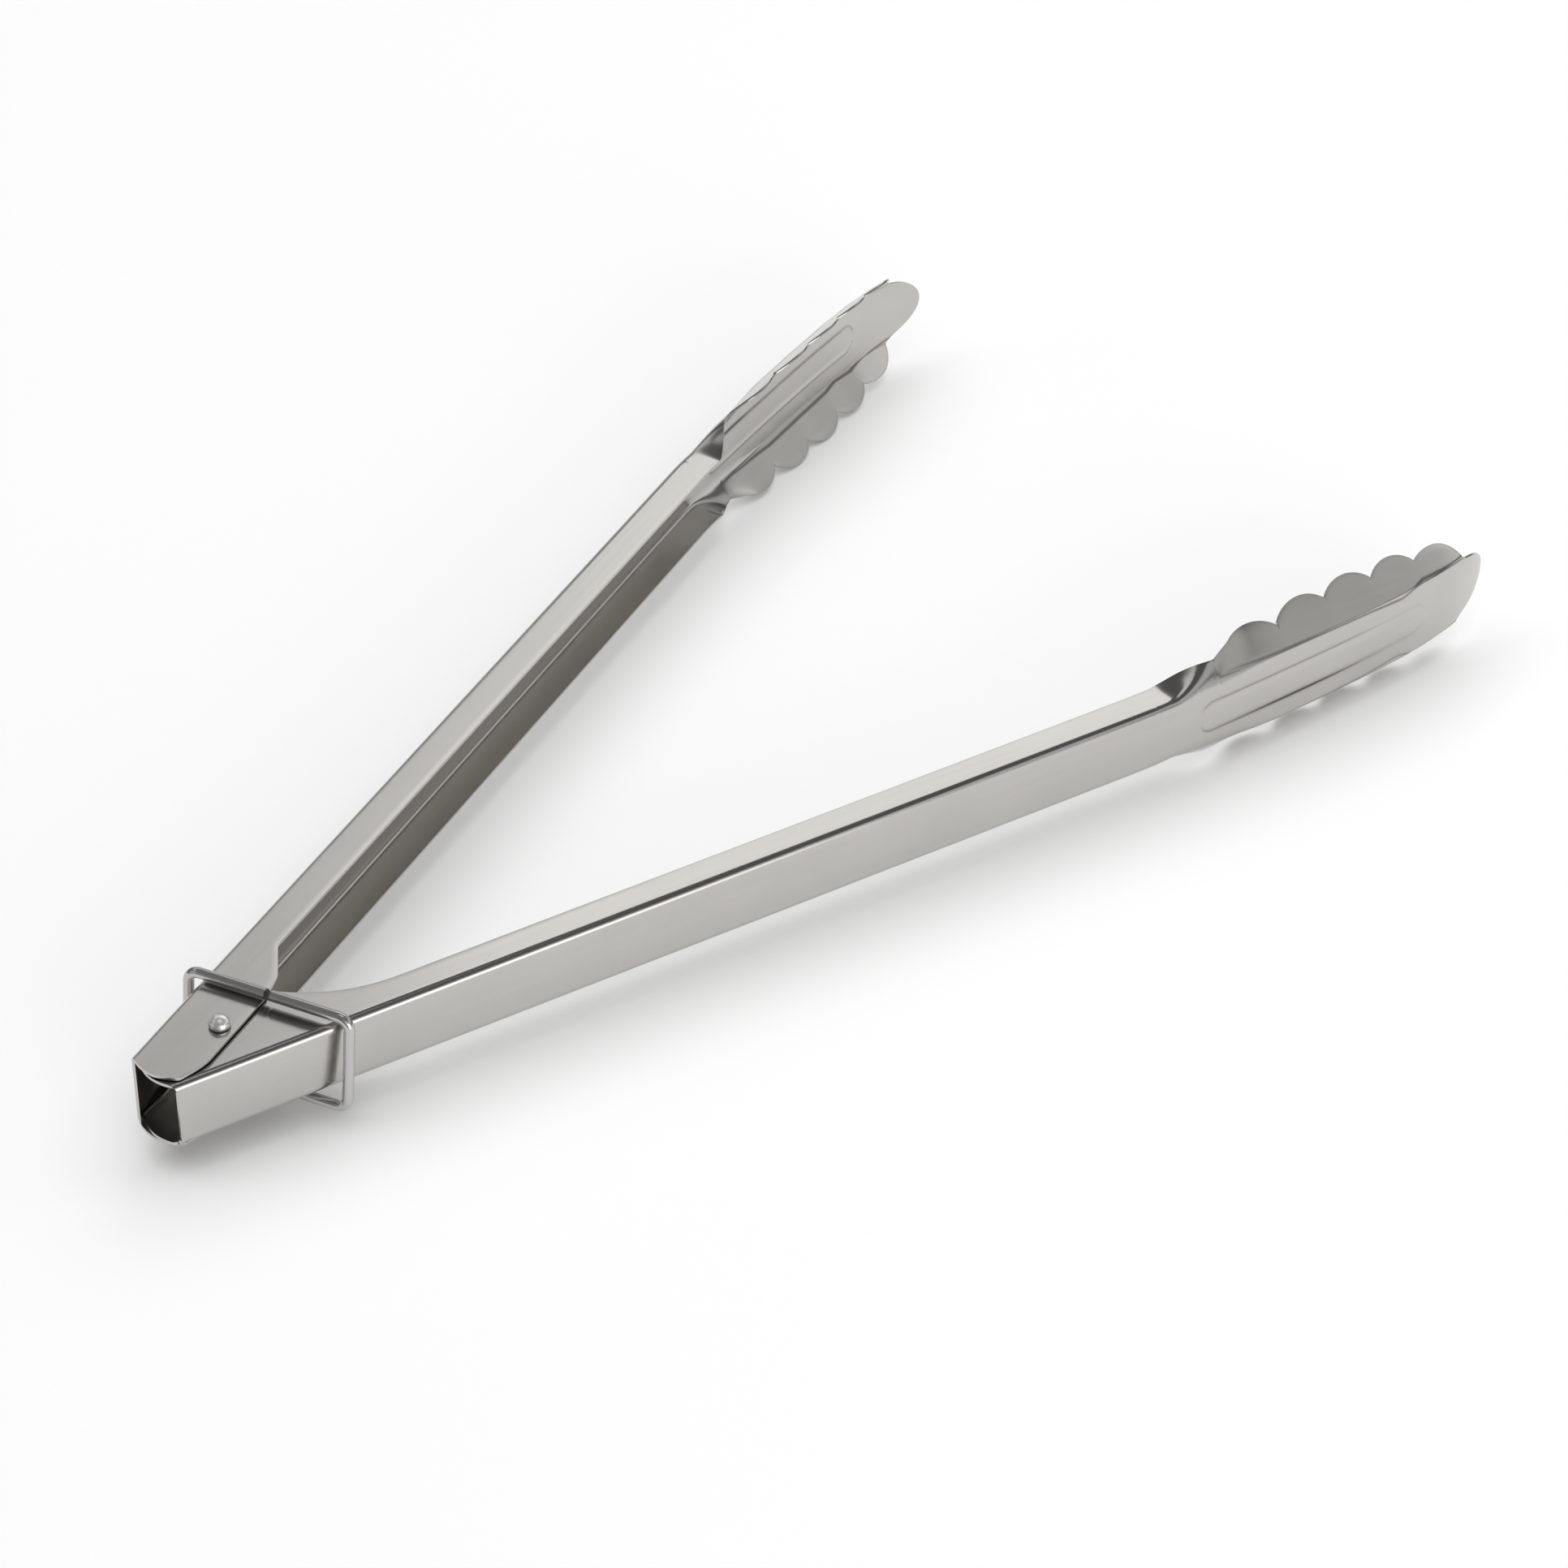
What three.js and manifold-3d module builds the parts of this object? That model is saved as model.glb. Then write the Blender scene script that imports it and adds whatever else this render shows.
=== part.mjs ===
// Spring loaded kitchen tongs of the 16 inch size, lying on their side and open.
//
// Frame: millimetres, +Z up. X runs from the pivot to the tips along the line that halves the
// opening, Y runs across the opening, and the rivet is parallel to Z.
// Both arms are pressed from sheet. Each is described in its own coordinates:
//   s  distance along the arm from the rivet, towards the tip
//   n  distance from the rivet, square to the web, positive towards the outside
//   u  distance across the flat blank from the arm's centre line, before it is folded

import * as THREE from 'three';
import { mergeVertices } from 'three/addons/utils/BufferGeometryUtils.js';
import Module from 'manifold-3d';

const wasm = await Module();
wasm.setup();

const { degToRad, lerp, clamp, smoothstep } = THREE.MathUtils;

// ---------------------------------------------------------------- driving dimensions

const PIVOT = new THREE.Vector3(-174.58, -0.29, 18.96);   // rivet axis, at half height of the arms
const HALF_OPENING = degToRad(16);

const SHEET = 0.8;               // sheet thickness of both arms
const WEB_OFFSET = 13.5;         // rivet axis to the outer face of the web
const FOLD_RADIUS = 2.0;         // outer radius of the fold between web and flange
const REAR_END = -18.2;          // end of the web behind the rivet
const REAR_BULGE = 4.1;          // how far the rounded flange end stands out behind the web
const REAR_ROWS_END = -8;        // the rounded end has straightened out here

const HEAD_START = 258;          // the web starts to slope inwards
const TIP = 385.5;               // end of the head
const HEAD_SLOPE = 6.2;          // how far the web falls inwards along the head, evenly
const HEAD_BOW = 4.3;            // and as a bow
const HEAD_FOLD_ANGLE = degToRad(48);
const HEAD_FOLD_START = 262;     // the head's side walls start to turn out of the web
const HEAD_FOLD_END = 298;       // they are fully turned
const HEAD_FOLD_RADIUS = 1.2;
const HEAD_HALF_WIDTH = 10.8;    // centre line to the fold of the head's side walls

const NECK_START = 270;          // the arm's folds start to run outwards
const NECK_END = 285.5;          // the arm's folds reach the edge of the sheet
const NECK_EDGE = 15.9;          // half width of the blank there
const NECK_RUN_OUT = 6.5;        // how far the folds have run out there
const NECK_RADIUS = 4.0;         // radius the folds have opened out to
const FLATTEN_START = 268;       // the flanges start to turn up into the side walls
const FLATTEN_END = 294;         // nothing is left of the arm's own folds

// Notches between the lobes of a side wall: s, and half width of the blank.
const NOTCHES = [[308, 18.6], [325, 19.5], [341.5, 18.9], [357, 17.5], [373.6, 10.4]];
const LOBE_HEIGHTS = [3.8, 3.8, 3.7, 4.7];
const LOBE_LEANS = [0, 0, 0, 0.6];
const NOTCH_STEPS = [0, 0.1, 0.1, 0.1, 0];   // outward step of the head's fold at each notch
const FIRST_LOBE = { s: 299.5, u: 9.5, radius: 12, tangentAt: 292 };
const TIP_LOBE = { s: 370.5, length: 15.0, halfWidth: 9.7, nick: 2.0 };

const RIVET = { shank: 2.0, head: 2.75, dome: 2.6, rim: 0.5 };
const HOLE_RADIUS = 2.35;

const SPRING = { wire: 0.7, coil: 4.3, turns: 6, pitch: 1.75, legEnd: [27, 11.1] };

const RING = {
  wire: 1.4, width: 44.6, height: 25.4, corner: 3.0, gap: 1.0,
  x: 12.7, y: -2.3, z: -0.2, yaw: degToRad(17), lean: degToRad(8),
};

const STEEL = { color: 0xb9b6b1, metalness: 1.0, roughness: 0.3 };
const WIRE_STEEL = { color: 0xc4c1bb, metalness: 1.0, roughness: 0.2 };

// The two arms differ in height, because the inner arm sits between the outer arm's flanges,
// in the outline of their flanges, in the curl of the tip, and in the side that they lie on.
const INNER_ARM = {
  name: 'inner_arm', side: -1, tipCurl: 8.3,
  heightAtPivot: 19.0, heightAtNeck: 19.0,
  flangeEdge: innerFlangeEdge,
};
const OUTER_ARM = {
  name: 'outer_arm', side: 1, tipCurl: 6.3,
  heightAtPivot: 21.2, heightAtNeck: 19.4,
  flangeEdge: outerFlangeEdge,
};

// ---------------------------------------------------------------- outline of the arms

// n of the outer arm's flange edge: rounded off behind the rivet, wide over it, then a taper in
// two stretches to a corner.
function outerFlangeEdge(s) {
  const wide = -4.4;
  const shoulder = -2.6;
  const narrow = 3.3;
  const roundingStart = -11;
  const roundingDepth = 2.8;
  if (s < roundingStart) {
    const t = (s - roundingStart) / (REAR_END - roundingStart);
    return wide + roundingDepth * t * t;
  }
  const firstTaper = clamp((s - 14) / 8.5, 0, 1);
  const secondTaper = clamp((s - 22.5) / 10, 0, 1);
  return lerp(lerp(wide, shoulder, firstTaper), narrow, secondTaper);
}

// n of the inner arm's flange edge: cut back behind the rivet, so that it stops against the
// outer arm's web at full opening, wide over the rivet, then an S-curve to the narrow flange.
function innerFlangeEdge(s) {
  const wide = -9.2;
  const narrow = 4.4;
  const stopLine = -13.2 - 0.65 * s;
  const front = lerp(wide, narrow, 1 - (1 - clamp((s - 14) / 34, 0, 1)) ** 2.4);
  return s < 0 ? Math.max(wide, stopLine) : front;
}

// n of the web's outer face: straight, then sloping inwards along the head, curled at the tip.
function webOuterFace(arm, s) {
  const ease = 16;
  const past = s - HEAD_START;
  if (past <= 0) return WEB_OFFSET;
  const eased = past < ease ? past * past / (2 * ease) : past - ease / 2;
  const t = eased / (TIP - HEAD_START - ease / 2);
  return WEB_OFFSET - HEAD_SLOPE * t - HEAD_BOW * t ** 2 - arm.tipCurl * t ** 8;
}

function halfHeight(arm, s) {
  const t = clamp(s / HEAD_START, 0, 1);
  return lerp(arm.heightAtPivot, arm.heightAtNeck, t) / 2;
}

// Middle of the arm's own fold, on the blank. Past NECK_START it runs out to the edge.
function armFold(arm, s) {
  const straight = halfHeight(arm, s) - (1 - Math.PI / 4) * FOLD_RADIUS;
  const t = Math.max(0, (s - NECK_START) / (NECK_END - NECK_START));
  return straight + NECK_RUN_OUT * t ** 1.5;
}

function armFoldRadius(s) {
  return lerp(FOLD_RADIUS, NECK_RADIUS, smoothstep(s, FLATTEN_START, NECK_END));
}

// Turn of the arm's own fold. It goes over into the head's fold along the neck.
function armFoldAngle(s) {
  return (Math.PI / 2 - headFoldAngle(s)) * (1 - smoothstep(s, FLATTEN_START, FLATTEN_END));
}

// Middle of the fold between the head's web and its side walls, on the blank.
function headFold(arm, s) {
  const grown = lerp(6, HEAD_HALF_WIDTH, smoothstep(s, HEAD_START, 308));
  const room = armFold(arm, s) - 2.6;
  return Math.min(grown, Math.max(6, room)) + foldWave(s);
}

// The head's fold line steps outwards a little at each notch.
function foldWave(s) {
  const reach = 4.5;
  const step = (at, k) => NOTCH_STEPS[k] * Math.exp(-(((s - at) / reach) ** 2));
  return NOTCHES.reduce((sum, [at], k) => sum + step(at, k), 0);
}

function headFoldAngle(s) {
  return HEAD_FOLD_ANGLE * smoothstep(s, HEAD_FOLD_START, HEAD_FOLD_END);
}

function headFoldRadius(s) {
  const softest = 9;
  return lerp(softest, HEAD_FOLD_RADIUS, smoothstep(s, 275, 315));
}

// Half width of the flat blank at s.
function blankEdge(arm, s) {
  if (s <= NECK_START) return flangedEdge(arm, s);
  if (s <= NECK_END) {
    const t = (s - NECK_START) / (NECK_END - NECK_START);
    return lerp(flangedEdge(arm, NECK_START), NECK_EDGE, t);
  }
  if (s <= NOTCHES[0][0]) return firstLobe(s);
  const last = NOTCHES[NOTCHES.length - 1][0];
  return s <= last ? laterLobe(s) : tipLobe(s);
}

function flangedEdge(arm, s) {
  const depth = WEB_OFFSET - arm.flangeEdge(s);
  return halfHeight(arm, s) + depth - 2 * (1 - Math.PI / 4) * FOLD_RADIUS;
}

// A straight rise, then a round lobe.
function firstLobe(s) {
  const { s: centre, u, radius, tangentAt } = FIRST_LOBE;
  const round = (at) => u + Math.sqrt(radius ** 2 - (at - centre) ** 2);
  if (s >= tangentAt) return round(s);
  return lerp(NECK_EDGE, round(tangentAt), (s - NECK_END) / (tangentAt - NECK_END));
}

// A circular arc standing on the line between two notches.
function laterLobe(s) {
  const k = clamp(NOTCHES.findIndex(([at]) => s <= at), 1, NOTCHES.length - 1);
  const [s0, u0] = NOTCHES[k - 1];
  const [s1, u1] = NOTCHES[k];
  const half = (s1 - s0) / 2;
  const height = LOBE_HEIGHTS[k - 1];
  const radius = (half ** 2 + height ** 2) / (2 * height);
  const across = s - (s0 + s1) / 2;
  const arc = Math.sqrt(radius ** 2 - across ** 2) - (radius - height);
  const lean = 1 + LOBE_LEANS[k - 1] * across / (2 * half);
  return lerp(u0, u1, (s - s0) / (s1 - s0)) + arc * lean;
}

// Half an ellipse, with a nick where it meets the last lobe.
function tipLobe(s) {
  const { s: centre, length, halfWidth, nick } = TIP_LOBE;
  const [s0, u0] = NOTCHES[NOTCHES.length - 1];
  const ellipse = halfWidth * Math.sqrt(Math.max(0, 1 - ((s - centre) / length) ** 2));
  return lerp(u0, ellipse, Math.sqrt(clamp((s - s0) / nick, 0, 1)));
}

// ---------------------------------------------------------------- folded sheet

// Turn of the sheet at u, from the plane of the web, as the folds add up.
function turnAt(arm, s, u) {
  const first = headFoldAngle(s);
  const firstHalf = Math.max(headFoldRadius(s) * first / 2, 0.01);
  const secondHalf = Math.PI / 4 * armFoldRadius(s);
  const share = (middle, half) => clamp((u - middle + half) / (2 * half), 0, 1);
  const headTurn = first * share(headFold(arm, s), firstHalf);
  return headTurn + armFoldAngle(s) * share(armFold(arm, s), secondHalf);
}

// Section of the folded sheet at s: outer and inner points for the half blank.
function foldedHalfSection(arm, s, columns) {
  const step = 0.1;
  const points = [];
  let u = 0;
  let n = webOuterFace(arm, s);
  let z = 0;
  for (const target of columns) {
    while (u < target - 1e-9) {
      const du = Math.min(step, target - u);
      const turn = turnAt(arm, s, u + du / 2);
      n -= Math.sin(turn) * du;
      z += Math.cos(turn) * du;
      u += du;
    }
    const turn = turnAt(arm, s, u);
    points.push({ u, n, z, nIn: n - SHEET * Math.cos(turn), zIn: z - SHEET * Math.sin(turn) });
  }
  return points;
}

// Blank coordinates of the columns of vertices, from the centre line to the edge.
function sectionColumns(arm, s) {
  const last = NOTCHES[NOTCHES.length - 1][0];
  if (s > last) {
    const scale = blankEdge(arm, s) / blankEdge(arm, last);
    return sectionColumns(arm, last).map((u) => u * scale);
  }
  const edge = blankEdge(arm, s);
  const head = headFold(arm, s);
  const headHalf = clamp(headFoldRadius(s) * headFoldAngle(s) / 2, 0.6, 3);
  const fold = armFold(arm, s);
  const foldHalf = Math.PI / 4 * armFoldRadius(s);
  const wallStart = head + headHalf;
  const foldEnd = fold + foldHalf;
  const flat = [1, 2, 3].map((k) => lerp(foldEnd, edge, k / 4));
  const followFold = [Math.max(fold - foldHalf, wallStart + 0.3), fold, foldEnd, ...flat];
  const spread = smoothstep(s, NECK_END - 4, NECK_END + 6);
  const count = followFold.length;
  const wall = followFold.map((u, k) => {
    const onFold = Math.min(u, edge - 0.3 * (count - k));
    return lerp(onFold, lerp(wallStart, edge, (k + 1) / (count + 1)), spread);
  });
  return [0, head - headHalf, wallStart, ...wall, edge];
}

// Distances along the arm where the sheet gets a row of vertices.
function stations() {
  const rows = [REAR_END, -15, -11.5, REAR_ROWS_END, -4, 0, 4, 8, 12, 15, 18, 21, 25, 29, 32, 36, 42, 50];
  rows.push(90, 170, HEAD_START, 263, FLATTEN_START, NECK_START);
  for (let s = NECK_START + 2.5; s < NECK_END; s += 2.5) rows.push(s);
  rows.push(NECK_END, 290, 293, 296.5, 300.5, 304.5);
  NOTCHES.forEach(([s0], k) => {
    rows.push(s0);
    const next = NOTCHES[k + 1];
    if (!next) return;
    const steps = 7;
    for (let i = 1; i < steps; i += 1) {
      rows.push(s0 + (next[0] - s0) * (1 - Math.cos(Math.PI * i / steps)) / 2);
    }
  });
  const tipStart = NOTCHES[NOTCHES.length - 1][0];
  const tipSteps = 8;
  for (let i = 1; i <= tipSteps; i += 1) {
    rows.push(tipStart + (TIP - 0.05 - tipStart) * Math.sin(Math.PI / 2 * i / tipSteps));
  }
  return rows;
}

// The flanges end behind the rivet in a shallow arc that stands out past the web.
function rearShift(s, n) {
  const middle = 4.5;
  const half = 9;
  const bulge = REAR_BULGE * Math.max(0, 1 - ((n - middle) / half) ** 2);
  return -bulge * clamp((REAR_ROWS_END - s) / (REAR_ROWS_END - REAR_END), 0, 1);
}

function armPoint(arm, s, n, z) {
  const x = s * Math.cos(HALF_OPENING) - n * Math.sin(HALF_OPENING);
  const y = arm.side * (s * Math.sin(HALF_OPENING) + n * Math.cos(HALF_OPENING));
  return [x, y, z];
}

// One row of the sheet, edge to edge: outer skin then inner skin.
function sheetRow(arm, s) {
  const half = foldedHalfSection(arm, s, sectionColumns(arm, s));
  const mirrored = half.slice(1).reverse().map((p) => ({ ...p, z: -p.z, zIn: -p.zIn }));
  const row = [...mirrored, ...half];
  const shift = (p) => s + rearShift(s, p.n);
  const outer = row.map((p) => armPoint(arm, shift(p), p.n, p.z));
  const inner = row.map((p) => armPoint(arm, shift(p), p.nIn, p.zIn));
  return { outer, inner };
}

// Closed solid between the outer and inner skins of the rows.
function sheetGeometry(arm) {
  const rows = stations().map((s) => sheetRow(arm, s));
  const across = rows[0].outer.length;
  const positions = rows.flatMap((row) => [...row.outer, ...row.inner]).flat();
  const at = (row, column, inner) => row * 2 * across + (inner ? across : 0) + column;
  const index = [];
  const quad = (a, b, c, d) => {
    const corners = arm.side > 0 ? [a, b, c, a, c, d] : [a, c, b, a, d, c];
    index.push(...corners);
  };
  for (let r = 0; r + 1 < rows.length; r += 1) {
    for (let c = 0; c + 1 < across; c += 1) {
      quad(at(r, c, 0), at(r, c + 1, 0), at(r + 1, c + 1, 0), at(r + 1, c, 0));
      quad(at(r, c, 1), at(r + 1, c, 1), at(r + 1, c + 1, 1), at(r, c + 1, 1));
    }
    const end = across - 1;
    quad(at(r, 0, 0), at(r + 1, 0, 0), at(r + 1, 0, 1), at(r, 0, 1));
    quad(at(r, end, 0), at(r, end, 1), at(r + 1, end, 1), at(r + 1, end, 0));
  }
  const last = rows.length - 1;
  for (let c = 0; c + 1 < across; c += 1) {
    quad(at(0, c, 0), at(0, c, 1), at(0, c + 1, 1), at(0, c + 1, 0));
    quad(at(last, c, 0), at(last, c + 1, 0), at(last, c + 1, 1), at(last, c, 1));
  }
  const geometry = new THREE.BufferGeometry();
  geometry.setAttribute('position', new THREE.Float32BufferAttribute(positions, 3));
  geometry.setIndex(index);
  return geometry;
}

// ---------------------------------------------------------------- joining and cutting

function toSolid(geometry) {
  const bare = geometry.clone();
  bare.deleteAttribute('normal');
  bare.deleteAttribute('uv');
  const merged = mergeVertices(bare, 1e-4);
  return new wasm.Manifold(new wasm.Mesh({
    numProp: 3,
    vertProperties: new Float32Array(merged.attributes.position.array),
    triVerts: new Uint32Array(merged.index.array),
  }));
}

function toGeometry(solid) {
  const mesh = solid.getMesh();
  const geometry = new THREE.BufferGeometry();
  const positions = new Float32Array(mesh.vertProperties);
  geometry.setAttribute('position', new THREE.BufferAttribute(positions, 3));
  geometry.setIndex(new THREE.BufferAttribute(new Uint32Array(mesh.triVerts), 1));
  return geometry;
}

// ---------------------------------------------------------------- pieces

function makeMesh(name, geometry, look) {
  geometry.computeVertexNormals();
  const mesh = new THREE.Mesh(geometry, new THREE.MeshStandardMaterial(look));
  mesh.name = name;
  return mesh;
}

function makeArm(arm) {
  const hole = new THREE.CylinderGeometry(HOLE_RADIUS, HOLE_RADIUS, 40, 20);
  hole.rotateX(Math.PI / 2);
  const drilled = toSolid(sheetGeometry(arm)).subtract(toSolid(hole));
  return makeMesh(arm.name, toGeometry(drilled), STEEL);
}

// One rivet with a domed head on each side of the outer arm's flanges.
function makeRivet() {
  const seat = OUTER_ARM.heightAtPivot / 2 + 0.3;
  const steps = 5;
  const profile = [];
  for (let i = 0; i <= steps; i += 1) {
    const angle = Math.PI / 2 * i / steps;
    const dome = seat + RIVET.rim + (RIVET.dome - RIVET.rim) * Math.cos(angle);
    profile.push(new THREE.Vector2(RIVET.head * Math.sin(angle), -dome));
  }
  profile.push(new THREE.Vector2(RIVET.head, -seat), new THREE.Vector2(RIVET.shank, -seat));
  const upper = profile.map((p) => new THREE.Vector2(p.x, -p.y)).reverse();
  const geometry = new THREE.LatheGeometry([...profile, ...upper], 20);
  geometry.rotateX(Math.PI / 2);
  return makeMesh('pivot_rivet', geometry, STEEL);
}

// Round wire swept along a path.
function wireGeometry(path, radius, sides, steps) {
  const section = new THREE.Shape();
  for (let i = 0; i < sides; i += 1) {
    const angle = 2 * Math.PI * i / sides;
    const corner = [radius * Math.cos(angle), radius * Math.sin(angle)];
    if (i === 0) section.moveTo(...corner);
    else section.lineTo(...corner);
  }
  section.closePath();
  return new THREE.ExtrudeGeometry(section, { steps, bevelEnabled: false, extrudePath: path });
}

// Torsion spring: a coil round the rivet, and a leg that lies inside each arm.
// The legs are drawn where the closed arms press them.
function makeSpring() {
  const { wire, coil, turns, pitch, legEnd } = SPRING;
  const [legX, legY] = legEnd;
  const tangent = Math.atan2(legX, legY) - Math.acos(coil / Math.hypot(legX, legY));
  const start = Math.PI / 2 - tangent;
  const sweep = 2 * Math.PI * turns - 2 * start;
  const half = pitch * turns / 2;
  const points = [new THREE.Vector3(legX, legY, half)];
  points.push(new THREE.Vector3(legX / 2, (legY + coil) / 2 + 0.4, half));
  const steps = turns * 14;
  for (let i = 0; i <= steps; i += 1) {
    const angle = start + sweep * i / steps;
    const z = half - 2 * half * i / steps;
    points.push(new THREE.Vector3(coil * Math.cos(angle), coil * Math.sin(angle), z));
  }
  points.push(new THREE.Vector3(legX / 2, -(legY + coil) / 2 - 0.4, -half));
  points.push(new THREE.Vector3(legX, -legY, -half));
  const path = new THREE.CatmullRomCurve3(points, false, 'centripetal');
  return makeMesh('torsion_spring', wireGeometry(path, wire, 6, 120), WIRE_STEEL);
}

// Rectangle of bent wire round both arms; its ends meet in the middle of the top bar.
function makeLockRing() {
  const { wire, width, height, corner, gap } = RING;
  const right = width / 2;
  const top = height / 2;
  const path = new THREE.CurvePath();
  const bar = (y0, z0, y1, z1) => {
    path.add(new THREE.LineCurve3(new THREE.Vector3(0, y0, z0), new THREE.Vector3(0, y1, z1)));
  };
  const bend = (y0, z0, cornerY, cornerZ, y1, z1) => {
    path.add(new THREE.QuadraticBezierCurve3(
      new THREE.Vector3(0, y0, z0), new THREE.Vector3(0, cornerY, cornerZ), new THREE.Vector3(0, y1, z1),
    ));
  };
  bar(-gap / 2, top, corner - right, top);
  bend(corner - right, top, -right, top, -right, top - corner);
  bar(-right, top - corner, -right, corner - top);
  bend(-right, corner - top, -right, -top, corner - right, -top);
  bar(corner - right, -top, right - corner, -top);
  bend(right - corner, -top, right, -top, right, corner - top);
  bar(right, corner - top, right, top - corner);
  bend(right, top - corner, right, top, right - corner, top);
  bar(right - corner, top, gap / 2, top);
  const mesh = makeMesh('lock_ring', wireGeometry(path, wire, 10, 90), WIRE_STEEL);
  mesh.position.set(RING.x, RING.y, RING.z);
  mesh.rotation.set(0, RING.lean, RING.yaw, 'ZYX');
  return mesh;
}

// ---------------------------------------------------------------- assembly

const tongs = new THREE.Group();
tongs.position.copy(PIVOT);
tongs.add(makeArm(INNER_ARM), makeArm(OUTER_ARM), makeRivet(), makeSpring(), makeLockRing());

export default tongs;
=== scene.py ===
"""Looks of the spring loaded kitchen tongs: pressed stainless arms, rivet, spring and lock ring.

Everything is built in millimetres about the rivet and placed by PIVOT, in the CAD model's frame.
An arm is described by s along it from the rivet, n square to its web, positive outwards, and
u across its flat blank before folding.
"""

import math

import bmesh
import bpy
import numpy as np
from mathutils import Matrix, Vector


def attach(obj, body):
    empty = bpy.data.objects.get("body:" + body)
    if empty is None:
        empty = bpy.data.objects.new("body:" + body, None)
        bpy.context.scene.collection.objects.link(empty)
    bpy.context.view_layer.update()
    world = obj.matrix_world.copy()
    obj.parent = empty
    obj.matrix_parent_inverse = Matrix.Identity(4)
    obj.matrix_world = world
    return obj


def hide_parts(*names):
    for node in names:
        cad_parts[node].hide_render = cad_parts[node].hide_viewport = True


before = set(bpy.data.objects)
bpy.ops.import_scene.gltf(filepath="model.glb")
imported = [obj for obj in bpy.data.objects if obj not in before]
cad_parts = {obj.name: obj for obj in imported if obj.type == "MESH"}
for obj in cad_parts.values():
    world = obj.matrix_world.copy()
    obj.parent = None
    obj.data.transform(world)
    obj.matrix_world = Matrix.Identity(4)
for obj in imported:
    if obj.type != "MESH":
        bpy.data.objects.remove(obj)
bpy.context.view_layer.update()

MM = 0.001
PIVOT = Vector((-0.17458, -0.00029, 0.01896))
HALF_OPENING = math.radians(16)

SHEET = 0.8
WEB_OFFSET = 13.5
FOLD_RADIUS = 2.0
REAR_END = -18.2
REAR_BULGE = 4.06
REAR_ROWS_END = -8.0

HEAD_START = 258.0
TIP = 385.5
HEAD_SLOPE = 6.2
HEAD_BOW = 4.3
NECK_START = 270.0
NECK_END = 285.5
NECK_EDGE = 15.9
NECK_RUN_OUT = 6.5
NECK_RADIUS = 4.0
FLATTEN_START = 268.0
FLATTEN_END = 294.0
HEAD_FOLD_ANGLE = math.radians(48)
HEAD_FOLD_START = 262.0
HEAD_FOLD_END = 298.0
HEAD_FOLD_RADIUS = 1.2
HEAD_HALF_WIDTH = 10.8
NOTCHES = [(308, 18.6), (325, 19.5), (341.5, 18.9), (357, 17.5), (373.6, 10.4)]
LOBE_HEIGHTS = [3.8, 3.8, 3.7, 4.7]
LOBE_LEANS = [0, 0, 0, 0.6]
NOTCH_STEPS = [0, 0.1, 0.1, 0.1, 0]
FIRST_LOBE = {"s": 299.5, "u": 9.5, "radius": 12.0, "tangent": 292.0}
TIP_LOBE = {"s": 370.5, "length": 15.0, "half_width": 9.7, "nick": 2.0}
RIB = {"start": 278.5, "end": 358.5, "half_width": 4.7, "height": 0.28, "wall": 1.5}
RIB_RUN_IN = 10.0          # the rib rises to its full height over this length
RIB_FADE = (325.0, 345.0)  # its painted shade lines grow fainter from the first s to the second
FOLD_GROOVE = {"depth": 0.12, "width": 0.5, "from": 288.0, "full": 304.0}
# The painted shade line drawn dark along the head's fold line: its width, and where it starts and where it is
# full.
FOLD_SHADE_LINE = {"width": 0.45, "from": 284.0, "full": 300.0}
HOLE_RADIUS = 2.35
SMOOTH_UP_TO = math.radians(50)   # edges that turn more than this stay sharp

RIVET = {"shank": 2.0, "head": 2.75, "dome": 2.6, "rim": 0.5}
SPRING = {"wire": 0.7, "coil": 4.3, "turns": 6, "pitch": 1.75, "leg_end": (27.0, 11.1)}
RING = {
    "wire": 1.4, "width": 44.6, "height": 25.4, "corner": 3.0, "gap": 1.0,
    "x": 12.7, "y": -2.3, "z": -0.2, "yaw": math.radians(17), "lean": math.radians(8),
}

# crease holds (s, u) of the fold line of the head, as it shows in the photo. crease_shade is how dark the
# painted shade line along it is drawn above (1) and below (-1) the centre line. shaded_rib says which foot of
# the rib gets extra painted shade, where along the arm, and how far to each side. rib_fade thins the rib's
# painted shade lines near the tip.
INNER_ARM = {
    "name": "inner_arm", "body": "inner", "side": -1,
    "at_pivot": 19.0, "at_neck": 19.0, "tip_curl": 8.3,
    "shaded_rib": (-1, 312.0, 18.0), "rib_fade": 0.75, "crease_shade": {1: 1.0, -1: 0.6},
    "crease": [
        (282, 11.4), (292, 11.5), (317, 10.9), (337, 10.4), (349, 9.5), (357, 11.8), (373, 10.3),
    ],
}
OUTER_ARM = {
    "name": "outer_arm", "body": "outer", "side": 1,
    "at_pivot": 21.2, "at_neck": 19.4, "tip_curl": 6.3,
    "shaded_rib": (1, 293.0, 9.0), "rib_fade": 0.25, "crease_shade": {1: 0.35, -1: 1.0},
    "crease": [
        (285, 9.4), (295, 11.4), (311, 12.9), (325, 12.8), (343, 12.5), (348, 11.6), (356, 12.2),
        (365, 10.2), (373, 9.4),
    ],
}


# ---------------------------------------------------------------- small maths

def lerp(a, b, t):
    return a + (b - a) * t


def clamp(v, lo, hi):
    return max(lo, min(hi, v))


def smoothstep(x, lo, hi):
    t = clamp((x - lo) / (hi - lo), 0.0, 1.0)
    return t * t * (3 - 2 * t)


# ---------------------------------------------------------------- outline of an arm

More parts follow.
